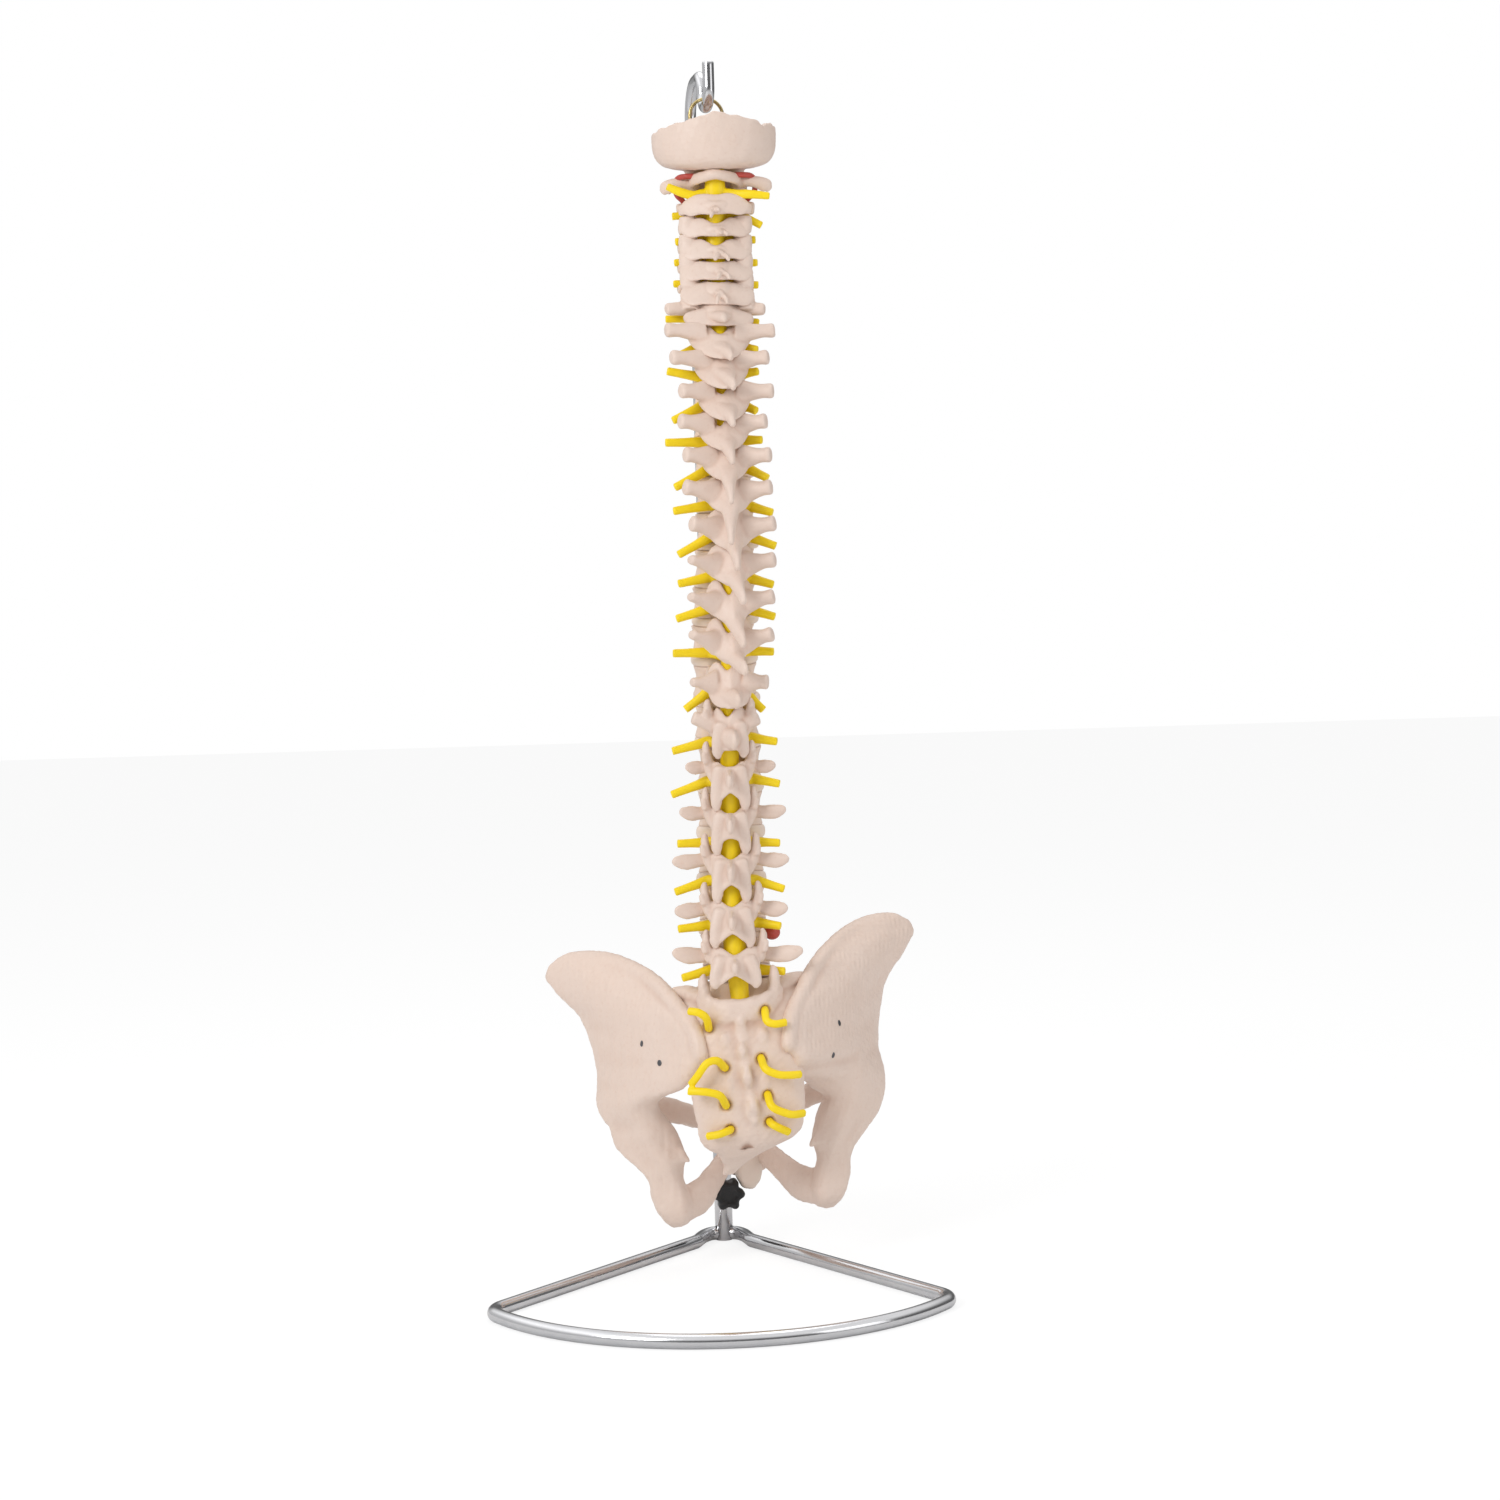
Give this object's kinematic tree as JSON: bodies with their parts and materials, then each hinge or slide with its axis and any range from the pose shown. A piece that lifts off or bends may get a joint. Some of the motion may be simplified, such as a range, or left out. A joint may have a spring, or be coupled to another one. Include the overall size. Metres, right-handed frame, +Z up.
{
  "type": "spine anatomy model on stand",
  "caption": "Life-size flexible teaching model of a human spine with pelvis and base of the skull, hanging from a hook stand with a looped floor base.",
  "frame": {"origin": "centre of the sleeve's closed lower end, on the floor, on the mast's axis", "axes": "+Z up along the mast, +X to the viewer's right, -Y towards the viewer, the side where the spine hangs with its back outwards"},
  "size_m": [0.3028, 0.3126, 0.826],
  "materials": {
    "bone": "satin, moulded bone texture",
    "cartilage": "soft translucent cream",
    "nerve": "satin yellow",
    "artery": "satin red",
    "chrome": "bright plated tube",
    "brass": "drawn wire",
    "steel": "spiral cable",
    "black_plastic": "moulded, slightly rough"
  },
  "bodies": {
    "stand": {"stand_base": "chrome"},
    "clamp": {"clamp_knob": "black_plastic"},
    "mast": {"mast": "chrome", "hanging_loop": "brass", "occiput": "bone", "vertebra_L5": "bone", "vertebra_L4": "bone", "vertebra_L3": "bone", "vertebra_L2": "bone", "vertebra_L1": "bone", "vertebra_T12": "bone", "vertebra_T11": "bone", "vertebra_T10": "bone", "vertebra_T9": "bone", "vertebra_T8": "bone", "vertebra_T7": "bone", "vertebra_T6": "bone", "vertebra_T5": "bone", "vertebra_T4": "bone", "vertebra_T3": "bone", "vertebra_T2": "bone", "vertebra_T1": "bone", "vertebra_C7": "bone", "vertebra_C6": "bone", "vertebra_C5": "bone", "vertebra_C4": "bone", "vertebra_C3": "bone", "vertebra_C2": "bone", "vertebra_C1": "bone", "sacrum": "bone", "hip_left": "bone", "hip_right": "bone", "symphysis_disc": "cartilage", "disc_L5_S1": "cartilage", "disc_L4_L5": "cartilage", "disc_L3_L4": "cartilage", "disc_L2_L3": "cartilage", "disc_L1_L2": "cartilage", "disc_T12_L1": "cartilage", "disc_T11_T12": "cartilage", "disc_T10_T11": "cartilage", "disc_T9_T10": "cartilage", "disc_T8_T9": "cartilage", "disc_T7_T8": "cartilage", "disc_T6_T7": "cartilage", "disc_T5_T6": "cartilage", "disc_T4_T5": "cartilage", "disc_T3_T4": "cartilage", "disc_T2_T3": "cartilage", "disc_T1_T2": "cartilage", "disc_C7_T1": "cartilage", "disc_C6_C7": "cartilage", "disc_C5_C6": "cartilage", "disc_C4_C5": "cartilage", "disc_C3_C4": "cartilage", "disc_C2_C3": "cartilage", "spinal_cord": "nerve", "flexible_core": "steel", "artery_left": "artery", "artery_right": "artery"}
  },
  "joints": [
    {"name": "knob_turn", "type": "hinge", "parent": "stand", "child": "clamp", "pos_m": [0, 0, 0.0388], "axis": [0.1392, -0.9903, 0], "range_deg": [0, 720]},
    {"name": "mast_slide", "type": "slide", "parent": "stand", "child": "mast", "axis": [0, 0, 1], "range_m": [0, 0.03]}
  ]
}
